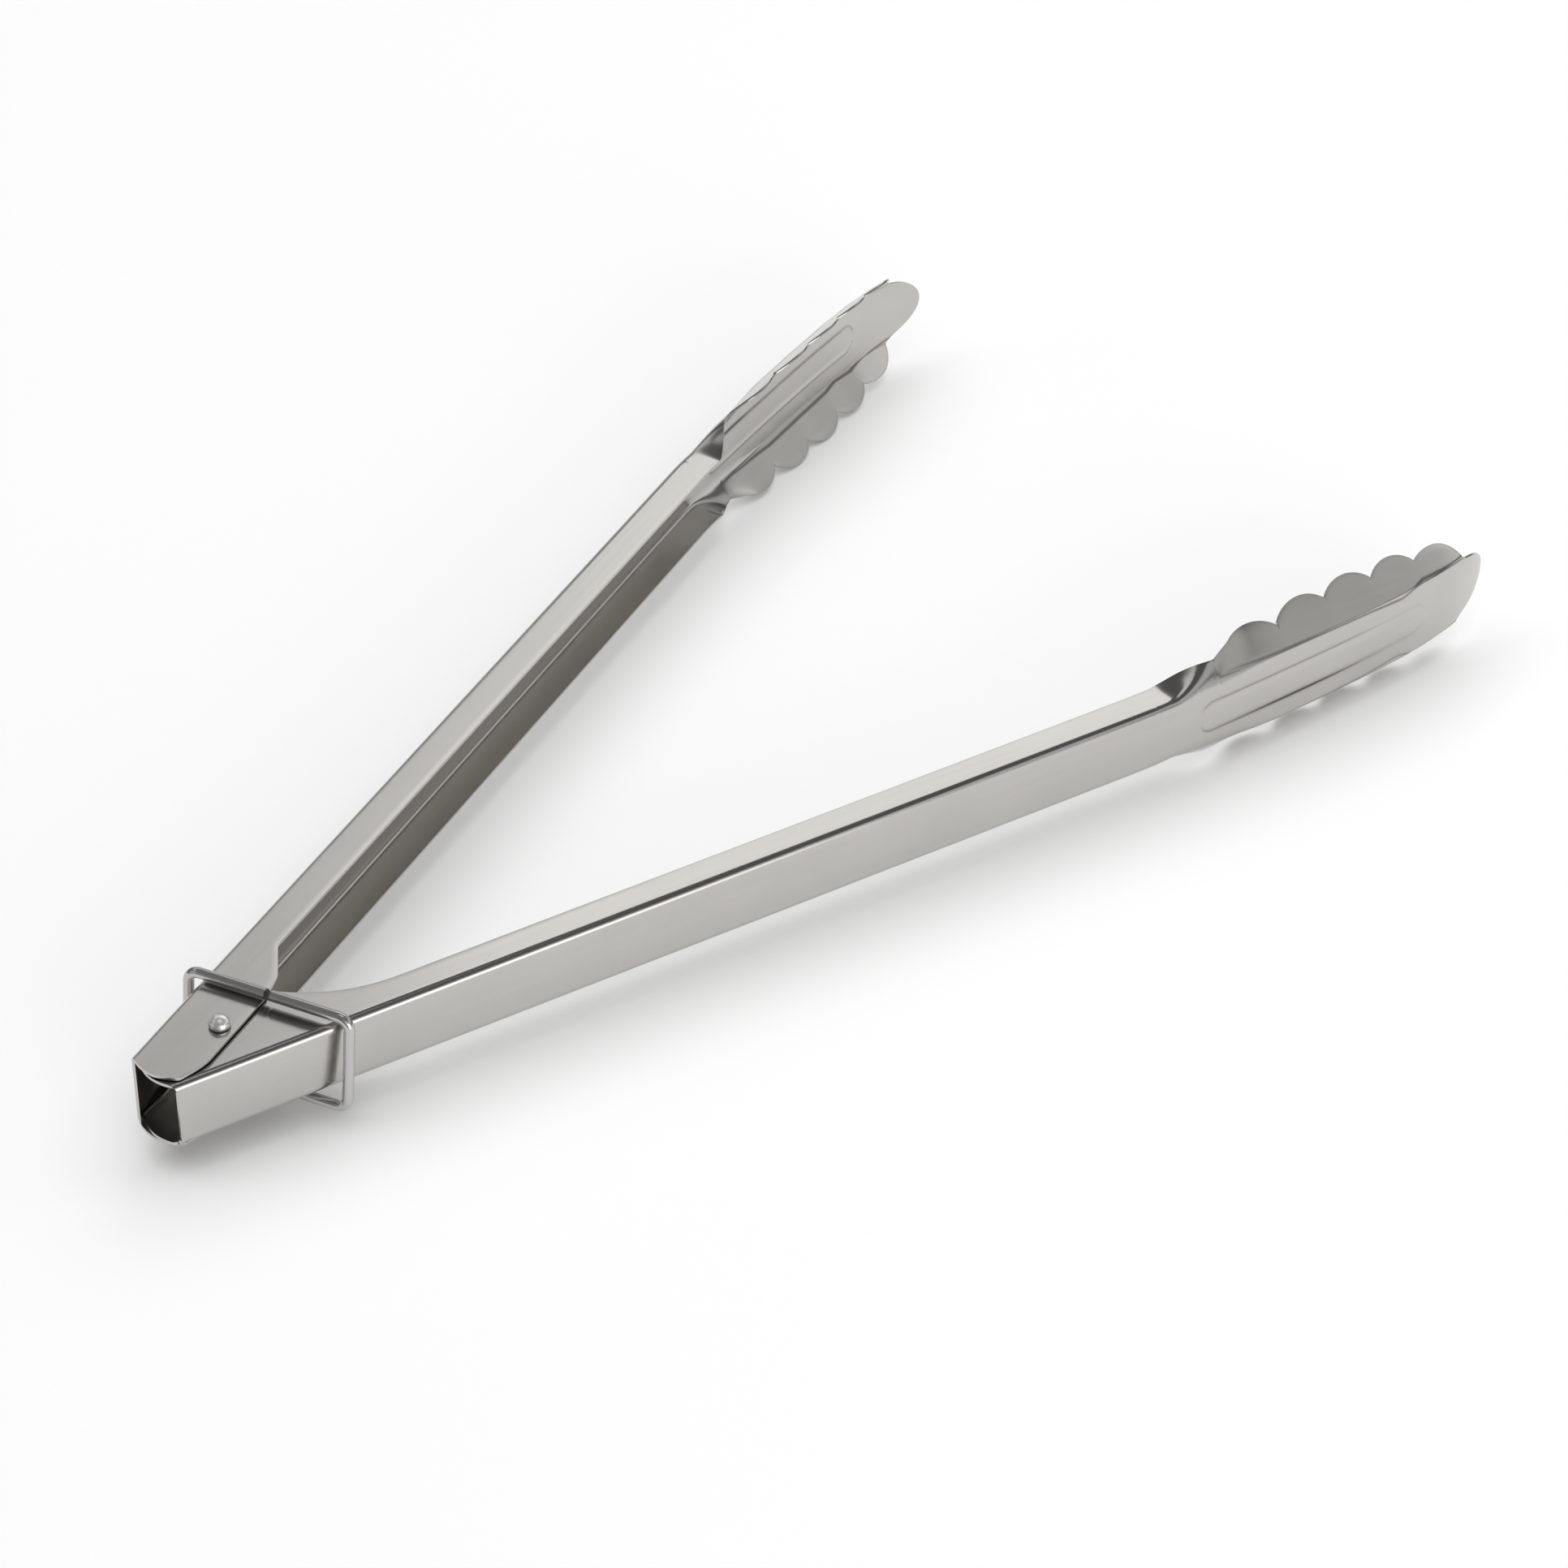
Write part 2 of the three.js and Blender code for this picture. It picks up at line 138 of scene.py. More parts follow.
def outer_flange_edge(s):
    wide, shoulder, narrow = -4.4, -2.6, 3.3
    rounding_start, rounding_depth = -11.0, 2.8
    if s < rounding_start:
        return wide + rounding_depth * ((s - rounding_start) / (REAR_END - rounding_start)) ** 2
    first_taper = clamp((s - 14) / 8.5, 0, 1)
    second_taper = clamp((s - 22.5) / 10, 0, 1)
    return lerp(lerp(wide, shoulder, first_taper), narrow, second_taper)


def inner_flange_edge(s):
    wide, narrow = -9.2, 4.4
    if s < 0:
        return max(wide, -13.2 - 0.65 * s)
    return lerp(wide, narrow, 1 - (1 - clamp((s - 14) / 34, 0, 1)) ** 2.4)


def flange_edge(arm, s):
    return inner_flange_edge(s) if arm["side"] < 0 else outer_flange_edge(s)


def web_outer_face(arm, s):
    ease = 16.0
    past = s - HEAD_START
    if past <= 0:
        return WEB_OFFSET
    eased = past * past / (2 * ease) if past < ease else past - ease / 2
    t = eased / (TIP - HEAD_START - ease / 2)
    return WEB_OFFSET - HEAD_SLOPE * t - HEAD_BOW * t ** 2 - arm["tip_curl"] * t ** 8


def half_height(arm, s):
    return lerp(arm["at_pivot"], arm["at_neck"], clamp(s / HEAD_START, 0, 1)) / 2


def arm_fold(arm, s):
    straight = half_height(arm, s) - (1 - math.pi / 4) * FOLD_RADIUS
    t = max(0.0, (s - NECK_START) / (NECK_END - NECK_START))
    return straight + NECK_RUN_OUT * t ** 1.5


def arm_fold_radius(s):
    return lerp(FOLD_RADIUS, NECK_RADIUS, smoothstep(s, FLATTEN_START, NECK_END))


def arm_fold_angle(s):
    """Turn of the arm's own fold, which goes over into the head's fold along the neck."""
    return (math.pi / 2 - head_fold_angle(s)) * (1 - smoothstep(s, FLATTEN_START, FLATTEN_END))


def fold_wave(s):
    return sum(step * math.exp(-(((s - at) / 4.5) ** 2)) for step, (at, _) in zip(NOTCH_STEPS, NOTCHES))


def head_fold(arm, s):
    grown = lerp(6, HEAD_HALF_WIDTH, smoothstep(s, HEAD_START, 308))
    room = arm_fold(arm, s) - 2.6
    return min(grown, max(6, room)) + fold_wave(s)


def head_fold_angle(s):
    return HEAD_FOLD_ANGLE * smoothstep(s, HEAD_FOLD_START, HEAD_FOLD_END)


def head_fold_radius(s):
    softest = 9.0
    return lerp(softest, HEAD_FOLD_RADIUS, smoothstep(s, 275, 315))


def flanged_edge(arm, s):
    depth = WEB_OFFSET - flange_edge(arm, s)
    return half_height(arm, s) + depth - 2 * (1 - math.pi / 4) * FOLD_RADIUS


def first_lobe(s):
    def round_part(at):
        return FIRST_LOBE["u"] + math.sqrt(FIRST_LOBE["radius"] ** 2 - (at - FIRST_LOBE["s"]) ** 2)
    tangent = FIRST_LOBE["tangent"]
    if s >= tangent:
        return round_part(s)
    return lerp(NECK_EDGE, round_part(tangent), (s - NECK_END) / (tangent - NECK_END))


def later_lobe(s):
    k = next(i for i, (at, _) in enumerate(NOTCHES) if s <= at + 1e-9)
    k = max(k, 1)
    (s0, u0), (s1, u1) = NOTCHES[k - 1], NOTCHES[k]
    half = (s1 - s0) / 2
    height = LOBE_HEIGHTS[k - 1]
    radius = (half ** 2 + height ** 2) / (2 * height)
    arc = math.sqrt(max(0.0, radius ** 2 - (s - (s0 + s1) / 2) ** 2)) - (radius - height)
    lean = 1 + LOBE_LEANS[k - 1] * (s - (s0 + s1) / 2) / (2 * half)
    return lerp(u0, u1, (s - s0) / (s1 - s0)) + arc * lean


def tip_lobe(s):
    s0, u0 = NOTCHES[-1]
    across = (s - TIP_LOBE["s"]) / TIP_LOBE["length"]
    ellipse = TIP_LOBE["half_width"] * math.sqrt(max(0.0, 1 - across ** 2))
    return lerp(u0, ellipse, math.sqrt(clamp((s - s0) / TIP_LOBE["nick"], 0, 1)))


def blank_edge(arm, s):
    if s <= NECK_START:
        return flanged_edge(arm, s)
    if s <= NECK_END:
        t = (s - NECK_START) / (NECK_END - NECK_START)
        return lerp(flanged_edge(arm, NECK_START), NECK_EDGE, t)
    if s <= NOTCHES[0][0]:
        return first_lobe(s)
    return later_lobe(s) if s <= NOTCHES[-1][0] else tip_lobe(s)


# ---------------------------------------------------------------- folded sheet

def turn_at(arm, s, u):
    first = head_fold_angle(s)
    first_half = max(head_fold_radius(s) * first / 2, 0.01)
    second = arm_fold_angle(s)
    second_half = math.pi / 4 * arm_fold_radius(s)

    def share(middle, half):
        return np.clip((u - middle + half) / (2 * half), 0, 1)

    return first * share(head_fold(arm, s), first_half) + second * share(arm_fold(arm, s), second_half)


def rib_half_width(s):
    """Half width of the rib, which is rounded off at both ends."""
    half = RIB["half_width"]
    past = max(0.0, RIB["start"] + half - s, s - (RIB["end"] - half))
    return math.sqrt(max(0.0, half ** 2 - past ** 2))


def rib_rise(s, u):
    """Height of the raised rib that runs down the middle of the head."""
    if s < RIB["start"] or s > RIB["end"]:
        return np.zeros_like(u)
    fade = smoothstep(s, RIB["start"], RIB["start"] + RIB_RUN_IN)
    half = rib_half_width(s)
    wall = RIB["wall"]
    t = np.clip((half - np.abs(u)) / wall, 0, 1)
    return RIB["height"] * fade * t * t * (3 - 2 * t)


def crease_line(arm, s):
    """Where the pressed fold line of the head shows, on the blank."""
    places, widths = zip(*arm["crease"])
    return float(np.interp(s, places, widths))


def row_columns(arm, s, count):
    """Blank coordinates across one half of the sheet, dense at both folds."""
    edge = blank_edge(arm, s)
    head = min(head_fold(arm, s), edge)
    fold = arm_fold(arm, s)
    u = np.linspace(0, edge, 240)
    weight = 1 / max(edge, 1) + 0 * u
    if head_fold_angle(s) > 0.02:
        weight = weight + 0.25 * np.exp(-(((u - head) / 1.6) ** 2))
        weight = weight + 0.5 * np.exp(-(((u - crease_line(arm, s)) / 0.7) ** 2))
    if s < NECK_END:
        weight = weight + 0.4 * np.exp(-(((u - fold) / 1.5) ** 2))
    if RIB["start"] < s < RIB["end"]:
        weight = weight + 0.2 * np.exp(-(((u - RIB["half_width"] + 0.4) / 1.0) ** 2))
    total = np.concatenate([[0], np.cumsum((weight[1:] + weight[:-1]) / 2)])
    return np.interp(np.linspace(0, total[-1], count), total, u)


def rear_shift(s, n):
    bulge = REAR_BULGE * np.maximum(0, 1 - ((n - 4.5) / 9) ** 2)
    return -bulge * clamp((REAR_ROWS_END - s) / (REAR_ROWS_END - REAR_END), 0, 1)


def folded_row(arm, s, count):
    """n, z and turn of the sheet's outer skin at the columns of one half, and their u."""
    columns = row_columns(arm, s, count)
    fine = np.linspace(0, columns[-1], 360)
    middle = (fine[1:] + fine[:-1]) / 2
    step = np.diff(fine)
    turn = turn_at(arm, s, middle)
    n = web_outer_face(arm, s) - np.concatenate([[0], np.cumsum(np.sin(turn) * step)])
    z = np.concatenate([[0], np.cumsum(np.cos(turn) * step)])
    turn_here = turn_at(arm, s, columns)
    across = (columns - crease_line(arm, s)) / FOLD_GROOVE["width"]
    run_in = smoothstep(s, FOLD_GROOVE["from"], FOLD_GROOVE["full"])
    lift = rib_rise(s, columns) - FOLD_GROOVE["depth"] * run_in * np.exp(-across ** 2)
    n_here = np.interp(columns, fine, n) + lift * np.cos(turn_here)
    z_here = np.interp(columns, fine, z) + lift * np.sin(turn_here)
    return columns, n_here, z_here, turn_here


def row_stations():
    """Places along the arm where the sheet's section is worked out, close together at bends."""
    rear = [REAR_END, -18.0, -17.6] + list(range(-17, -7))
    flanges = list(np.arange(-7, 51, 1.0)) + list(np.arange(54, 256, 6.0))
    lobes_start = 300
    neck = list(np.arange(HEAD_START, lobes_start, 0.75))
    lobes = []
    starts = [lobes_start] + [place for place, _ in NOTCHES[:-1]]
    for k, (start, (end, _)) in enumerate(zip(starts, NOTCHES)):
        steps = 26 if k else 14
        angle = np.pi * np.linspace(0 if k else 0.5, 1, steps + 1)[:-1]
        share = (1 - np.cos(angle)) / 2
        share = (share - share[0]) / (1 - share[0])
        lobes += list(start + (end - start) * share)
    last_notch = NOTCHES[-1][0]
    short_of_tip = 0.05
    quarter = np.linspace(0, np.pi / 2, 22)
    tip = list(last_notch + (TIP - short_of_tip - last_notch) * np.sin(quarter))
    return sorted(set(round(float(r), 4) for r in rear + flanges + neck + lobes + tip))


# Section of the sheet's rounded edge: distance in from the edge, and depth from the outer skin.
EDGE_ROUND = [(0.07, 0.04), (0.0, 0.16), (0.0, SHEET - 0.16), (0.07, SHEET - 0.04)]


def arm_point(arm, s, n, z):
    x = s * math.cos(HALF_OPENING) - n * math.sin(HALF_OPENING)
    y = arm["side"] * (s * math.sin(HALF_OPENING) + n * math.cos(HALF_OPENING))
    return (PIVOT.x + x * MM, PIVOT.y + y * MM, PIVOT.z + z * MM)


def rib_shade_line(arm, s, u, half):
    """Painted shade along the rib's foot above (half 1) or below (half -1) the centre line.

    The lines are drawn in the colour, to look as the pressed rib does in the photo's light. They
    stay the same from every side.
    """
    if not RIB["start"] < s < RIB["end"]:
        return 0 * u
    shaded, middle, reach = arm["shaded_rib"]
    foot = rib_half_width(s)
    strength, width = 0.75, 0.36
    line = strength * np.exp(-(((u - foot) / width) ** 2))
    line = line * (1 - arm["rib_fade"] * smoothstep(s, *RIB_FADE))
    if shaded == half:
        inset, shade_width = 0.1, 0.6
        shade = math.exp(-(((s - middle) / reach) ** 2))
        line = line + shade * np.exp(-(((u - foot + inset) / shade_width) ** 2))
    return line


def section_loop(arm, s, count):
    """One closed loop of (s, n, z, painted crease shade, edge) round the sheet's section at s."""
    u, n, z, turn = folded_row(arm, s, count)
    shift = rear_shift(s, n)
    # Painted shade: a dark line along the head's fold line.
    across = (u - crease_line(arm, s)) / FOLD_SHADE_LINE["width"]
    crease = np.exp(-across ** 2) * smoothstep(s, FOLD_SHADE_LINE["from"], FOLD_SHADE_LINE["full"])

    def skins(half):
        """Outer and inner skin of the half above (1) or below (-1) the centre line, without its edge."""
        # Painted shade along the fold line and the rib's feet, set separately above and below.
        dark = arm["crease_shade"][half] * crease + rib_shade_line(arm, s, u, half)
        outer = list(zip(s + shift, n, half * z, dark, 0 * u))
        inner_n = n - SHEET * np.cos(turn)
        inner_z = z - SHEET * np.sin(turn)
        inner = list(zip(s + shift, inner_n, half * inner_z, dark, 0 * u))
        return outer[:-1], inner[:-1]

    t = turn[-1]
    edge = []
    for back, depth in EDGE_ROUND:
        a = n[-1] - depth * math.cos(t) + back * math.sin(t)
        b = z[-1] - depth * math.sin(t) - back * math.cos(t)
        edge.append((s + shift[-1], a, b, 0.0, 1.0))

    def flipped(points):
        return [(p, a, -b, c, e) for p, a, b, c, e in points]

    outer_above, inner_above = skins(1)
    outer_below, inner_below = skins(-1)
    outer_skin = outer_below[:0:-1] + outer_above
    inner_skin = inner_below[:0:-1] + inner_above
    return outer_skin + edge + inner_skin[::-1] + flipped(edge[::-1])


def build_sheet(arm, count):
    rows = [section_loop(arm, s, count) for s in row_stations()]
    size = len(rows[0])
    skin = 2 * (count - 1) - 1
    vertices = [arm_point(arm, p[0], p[1], p[2]) for row in rows for p in row]
    faces = []
    for r in range(len(rows) - 1):
        for c in range(size):
            d = (c + 1) % size
            quad = (r * size + c, r * size + d, (r + 1) * size + d, (r + 1) * size + c)
            faces.append(quad if arm["side"] > 0 else quad[::-1])
    rounds = len(EDGE_ROUND)

    def cap(row, flip):
        base = row * size
        far = [skin + rounds + (skin - 1 - c) for c in range(skin)]
        for c in range(skin - 1):
            quad = (base + c, base + far[c], base + far[c + 1], base + c + 1)
            faces.append(quad if flip else quad[::-1])
        right = [base + skin - 1 + k for k in range(rounds + 2)]
        left = [base + (size - rounds - 1 + k) % size for k in range(rounds + 2)]
        faces.append(tuple(right[::-1]) if flip else tuple(right))
        faces.append(tuple(left[::-1]) if flip else tuple(left))

    cap(0, arm["side"] > 0)
    cap(len(rows) - 1, arm["side"] < 0)
    mesh = bpy.data.meshes.new(arm["name"] + "_sheet")
    mesh.from_pydata(vertices, [], faces)
    # The crease layer carries the painted shade lines; rim marks the sheet's rounded edge.
    for name, index in (("crease", 3), ("rim", 4)):
        layer = mesh.attributes.new(name, "FLOAT", "POINT")
        layer.data.foreach_set("value", [float(p[index]) for row in rows for p in row])
    along = mesh.attributes.new("along", "FLOAT_VECTOR", "POINT")
    flat = [v for row in rows for p in row for v in (p[0] * MM, p[1] * MM, p[2] * MM)]
    along.data.foreach_set("vector", flat)
    return mesh


def add_object(name, mesh, material, body, node):
    bm = bmesh.new()
    bm.from_mesh(mesh)
    bmesh.ops.recalc_face_normals(bm, faces=bm.faces)
    bm.to_mesh(mesh)
    bm.free()
    piece = bpy.data.objects.new(name, mesh)
    bpy.context.scene.collection.objects.link(piece)
    mesh.materials.append(material)
    mesh.shade_smooth()
    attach(piece, body)
    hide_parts(node)
    return piece


# ---------------------------------------------------------------- materials

class Nodes:
    """A material's node tree, with short calls to add and join nodes."""

    def __init__(self, name):
        self.material = bpy.data.materials.new(name)
        self.material.use_nodes = True
        self.tree = self.material.node_tree
        self.shader = self.tree.nodes["Principled BSDF"]

    def add(self, kind, inputs=(), **settings):
        node = self.tree.nodes.new(kind)
        for key, value in settings.items():
            setattr(node, key, value)
        for key, value in dict(inputs).items():
            self.set(node, key, value)
        return node

    def set(self, node, key, value):
        if isinstance(value, bpy.types.NodeSocket):
            self.tree.links.new(value, node.inputs[key])
        else:
            node.inputs[key].default_value = value

    def maths(self, operation, a, b=0.0):
        return self.add("ShaderNodeMath", {0: a, 1: b}, operation=operation).outputs[0]

    def ramp(self, factor, stops):
        node = self.add("ShaderNodeValToRGB", {"Fac": factor})
        elements = node.color_ramp.elements
        while len(elements) < len(stops):
            elements.new(0.5)
        for element, (place, grey) in zip(elements, stops):
            element.position = place
            element.color = (grey, grey, grey, 1)
        return node.outputs[0]

    def noise(self, vector, scale, detail=3.0, roughness=0.55):
        inputs = {"Vector": vector, "Scale": scale, "Detail": detail, "Roughness": roughness}
        return self.add("ShaderNodeTexNoise", inputs).outputs[0]

    def stretched(self, vector, scale):
        return self.add("ShaderNodeMapping", {"Vector": vector, "Scale": scale}).outputs[0]


def sheet_steel():
    """Satin stainless: fine brushing along the arm, soft clouding, painted shade along the creases and on the
    rounded edges.
    """
    m = Nodes("satin_stainless_sheet")
    along = m.add("ShaderNodeAttribute", attribute_name="along").outputs["Vector"]
    crease = m.add("ShaderNodeAttribute", attribute_name="crease").outputs["Fac"]
    rim = m.add("ShaderNodeAttribute", attribute_name="rim").outputs["Fac"]
    fine = m.noise(m.stretched(along, (22, 2600, 2600)), 1.0, 4.0, 0.6)
    broad = m.noise(m.stretched(along, (9, 420, 420)), 1.0, 3.0, 0.5)
    cloud = m.noise(m.stretched(along, (38, 60, 60)), 1.0, 3.0, 0.5)
    scuff = m.noise(m.stretched(along, (260, 900, 900)), 1.0, 2.0, 0.4)
    tone = m.add("ShaderNodeMix", data_type="RGBA")
    set_mix(m, tone, cloud, (0.50, 0.487, 0.463, 1), (0.57, 0.556, 0.53, 1))
    grained = m.add("ShaderNodeMix", data_type="RGBA", blend_type="MULTIPLY")
    set_mix(m, grained, 0.16, tone.outputs[2], m.ramp(broad, [(0.3, 0.78), (0.7, 1.0)]))
    # Painted shade: the crease layer darkens the colour along the head's fold lines and the rib's feet.
    dark = m.add("ShaderNodeMix", data_type="RGBA", blend_type="MIX")
    set_mix(m, dark, m.maths("MULTIPLY", crease, 0.72), grained.outputs[2], (0.10, 0.095, 0.09, 1))
    # Painted shade on the rounded sheet edges: their colour is mixed toward a darker grey, which tones down
    # their highlight.
    edge_shade = m.add("ShaderNodeMix", data_type="RGBA", blend_type="MIX")
    set_mix(m, edge_shade, m.maths("MULTIPLY", rim, 0.5), dark.outputs[2], (0.42, 0.41, 0.395, 1))
    m.set(m.shader, "Base Color", edge_shade.outputs[2])
    m.set(m.shader, "Metallic", 1.0)
    rough = m.maths("ADD", m.maths("MULTIPLY", fine, 0.08), 0.13)
    rough = m.maths("ADD", rough, m.maths("MULTIPLY", cloud, 0.06))
    rough = m.maths("ADD", rough, m.maths("MULTIPLY", crease, 0.2))
    m.set(m.shader, "Roughness", rough)
    grain = m.maths("ADD", m.maths("MULTIPLY", fine, 0.6), m.maths("MULTIPLY", scuff, 0.12))
    bump = m.add("ShaderNodeBump", {"Strength": 0.03, "Distance": 0.00004, "Height": grain})
    m.set(m.shader, "Normal", bump.outputs[0])
    return m.material


def set_mix(m, node, factor, a, b):
    """Sets the colour sockets of a colour mix, which share their names with its other kinds."""
    for key, value in ((0, factor), (6, a), (7, b)):
        m.set(node, key, value)


def wire_steel(name, low, high, roughness, metallic=1.0):
    """Drawn wire: streaks run along it, with small scuffs, and its cut ends are dark."""
    m = Nodes(name)
    cut = m.add("ShaderNodeAttribute", attribute_name="cut_end").outputs["Fac"]
    along = m.add("ShaderNodeAttribute", attribute_name="along").outputs["Vector"]
    streak = m.noise(m.stretched(along, (30, 5.0, 5.0)), 1.0, 3.0, 0.5)
    scuff = m.noise(m.stretched(along, (500, 9, 9)), 1.0, 2.0, 0.5)
    tone = m.add("ShaderNodeMix", data_type="RGBA")
    set_mix(m, tone, streak, (low, low * 0.985, low * 0.965, 1), (high, high * 0.985, high * 0.965, 1))
    dark = m.add("ShaderNodeMix", data_type="RGBA")
    set_mix(m, dark, m.maths("MULTIPLY", cut, 0.85), tone.outputs[2], (0.05, 0.048, 0.045, 1))
    m.set(m.shader, "Base Color", dark.outputs[2])
    m.set(m.shader, "Metallic", metallic)
    rough = m.maths("ADD", m.maths("MULTIPLY", streak, 0.08), roughness)
    rough = m.maths("ADD", rough, m.maths("MULTIPLY", scuff, 0.06))
    m.set(m.shader, "Roughness", rough)
    bump = m.add("ShaderNodeBump", {"Strength": 0.08, "Distance": 0.00004, "Height": streak})
    m.set(m.shader, "Normal", bump.outputs[0])
    return m.material


# ---------------------------------------------------------------- wire and turned pieces

def swept_wire(name, path, radius, sides):
    """Round wire along path, a list of Vectors in millimetres, with flat cut ends."""
    bm = bmesh.new()
    layer = bm.verts.layers.float_vector.new("along")
    cut = bm.verts.layers.float.new("cut_end")
    tangents = path_tangents(path)
    normal = tangents[0].orthogonal().normalized()
    rings = []
    travelled = 0.0
    last = len(path) - 1
    for i, (point, tangent) in enumerate(zip(path, tangents)):
        normal = (normal - tangent * normal.dot(tangent)).normalized()
        side = tangent.cross(normal)
        travelled += (point - path[i - 1]).length if i else 0.0
        ring = []
        dark = 1.0 if i in (0, last) else 0.0
        for k in range(sides):
            angle = 2 * math.pi * k / sides
            out = normal * math.cos(angle) + side * math.sin(angle)
            vertex = bm.verts.new(PIVOT + (point + out * radius) * MM)
            vertex[layer] = (travelled * MM, math.cos(angle), math.sin(angle))
            vertex[cut] = dark
            ring.append(vertex)
        rings.append(ring)
    for ring, after in zip(rings, rings[1:]):
        for k in range(sides):
            j = (k + 1) % sides
            bm.faces.new((ring[k], ring[j], after[j], after[k]))
    close_end(bm, rings[0][::-1], radius)
    close_end(bm, rings[last], radius)
    mesh = bpy.data.meshes.new(name)
    bm.to_mesh(mesh)
    bm.free()
    return mesh


def close_end(bm, ring, radius):
    """Closes a wire's end with a flat face that has a narrow border."""
    face = bm.faces.new(ring)
    bmesh.ops.inset_region(bm, faces=[face], thickness=radius * 0.18 * MM, depth=0.0)


def path_tangents(path):
    tangents = []
    for i in range(len(path)):
        before = path[max(i - 1, 0)]
        after = path[min(i + 1, len(path) - 1)]
        tangents.append((after - before).normalized())
    return tangents


def ring_path():
    """Points of the lock ring's wire, in its own plane: y across, z up."""
    right, top, corner, gap = RING["width"] / 2, RING["height"] / 2, RING["corner"], RING["gap"]
    path = []

    def bar(y0, z0, y1, z1, steps):
        for i in range(steps):
            t = i / steps
            path.append(Vector((0, lerp(y0, y1, t), lerp(z0, z1, t))))

    def bend(centre_y, centre_z, start):
        steps = 10
        for i in range(steps):
            angle = start + math.pi / 2 * i / steps
            path.append(Vector((0, centre_y + corner * math.cos(angle), centre_z + corner * math.sin(angle))))

    path.append(Vector((0, -gap / 2, top)))
    bar(-gap / 2 - 0.5, top, corner - right, top, 14)
    bend(corner - right, top - corner, math.pi / 2)
    bar(-right, top - corner, -right, corner - top, 14)
    bend(corner - right, corner - top, math.pi)
    bar(corner - right, -top, right - corner, -top, 24)
    bend(right - corner, corner - top, 3 * math.pi / 2)
    bar(right, corner - top, right, top - corner, 14)
    bend(right - corner, top - corner, 0.0)
    bar(right - corner, top, gap / 2 + 0.5, top, 14)
    path.append(Vector((0, gap / 2 + 0.5, top)))
    path.append(Vector((0, gap / 2, top)))
    turn = Matrix.Rotation(RING["yaw"], 3, "Z") @ Matrix.Rotation(RING["lean"], 3, "Y")
    offset = Vector((RING["x"], RING["y"], RING["z"]))
    return [turn @ p + offset for p in path]


def spring_path():
    """Points of the torsion spring: a leg inside each arm and the coil round the rivet."""
    leg_x, leg_y = SPRING["leg_end"]
    coil = SPRING["coil"]
    tangent = math.atan2(leg_x, leg_y) - math.acos(coil / math.hypot(leg_x, leg_y))
    start = math.pi / 2 - tangent
    sweep = 2 * math.pi * SPRING["turns"] - 2 * start
    half = SPRING["pitch"] * SPRING["turns"] / 2
    leave = Vector((coil * math.cos(start), coil * math.sin(start), half))
    path = []
    for i in range(12):
        path.append(Vector((leg_x, leg_y, half)).lerp(leave, i / 12))
    steps = SPRING["turns"] * 32
    for i in range(steps + 1):
        angle = start + sweep * i / steps
        path.append(Vector((coil * math.cos(angle), coil * math.sin(angle), half - 2 * half * i / steps)))
    leave = Vector((coil * math.cos(start), -coil * math.sin(start), -half))
    for i in range(1, 13):
        path.append(leave.lerp(Vector((leg_x, -leg_y, -half)), i / 12))
    return path


def turned_piece(name, profile, sides):
    """Solid of revolution about the rivet's axis. profile is (radius, z) from pole to pole."""
    bm = bmesh.new()
    layer = bm.verts.layers.float_vector.new("along")
    rings = []
    for radius, z in profile:
        ring = []
        count = 1 if radius < 1e-6 else sides
        for k in range(count):
            angle = 2 * math.pi * k / sides
            spot = Vector((radius * math.cos(angle), radius * math.sin(angle), z))
            vertex = bm.verts.new(PIVOT + spot * MM)
            vertex[layer] = (radius * MM, math.cos(angle), math.sin(angle))
            ring.append(vertex)
        rings.append(ring)
    for ring, after in zip(rings, rings[1:]):
        for k in range(sides):
            j = (k + 1) % sides
            corners = [ring[k % len(ring)], ring[j % len(ring)], after[j % len(after)], after[k % len(after)]]
            unique = list(dict.fromkeys(corners))
            bm.faces.new(unique)
    mesh = bpy.data.meshes.new(name)
    bm.to_mesh(mesh)
    bm.free()
    return mesh


def rivet_profile():
    seat = OUTER_ARM["at_pivot"] / 2 + 0.3
    head, rim, dome = RIVET["head"], RIVET["rim"], RIVET["dome"]
    upper = []
    steps = 14
    for i in range(steps + 1):
        angle = math.pi / 2 * i / steps
        upper.append((head * math.sin(angle), seat + rim + (dome - rim) * math.cos(angle)))
    upper[0] = (0.0, upper[0][1])
    upper += [(head, seat + 0.12), (head - 0.12, seat), (RIVET["shank"], seat), (RIVET["shank"], seat - 0.2)]
    return upper + [(r, -z) for r, z in reversed(upper)]


# ---------------------------------------------------------------- pieces

def drill(piece):
    """Cuts the rivet's hole through both flanges."""
    bpy.ops.mesh.primitive_cylinder_add(vertices=48, radius=HOLE_RADIUS * MM, depth=40 * MM, location=PIVOT)
    cutter = bpy.context.object
    modifier = piece.modifiers.new("rivet_hole", "BOOLEAN")
    modifier.object = cutter
    modifier.solver = "EXACT"
    graph = bpy.context.evaluated_depsgraph_get()
    drilled = bpy.data.meshes.new_from_object(
        piece.evaluated_get(graph), preserve_all_data_layers=True, depsgraph=graph)
    piece.modifiers.clear()
    piece.data = drilled
    bpy.data.objects.remove(cutter, do_unlink=True)


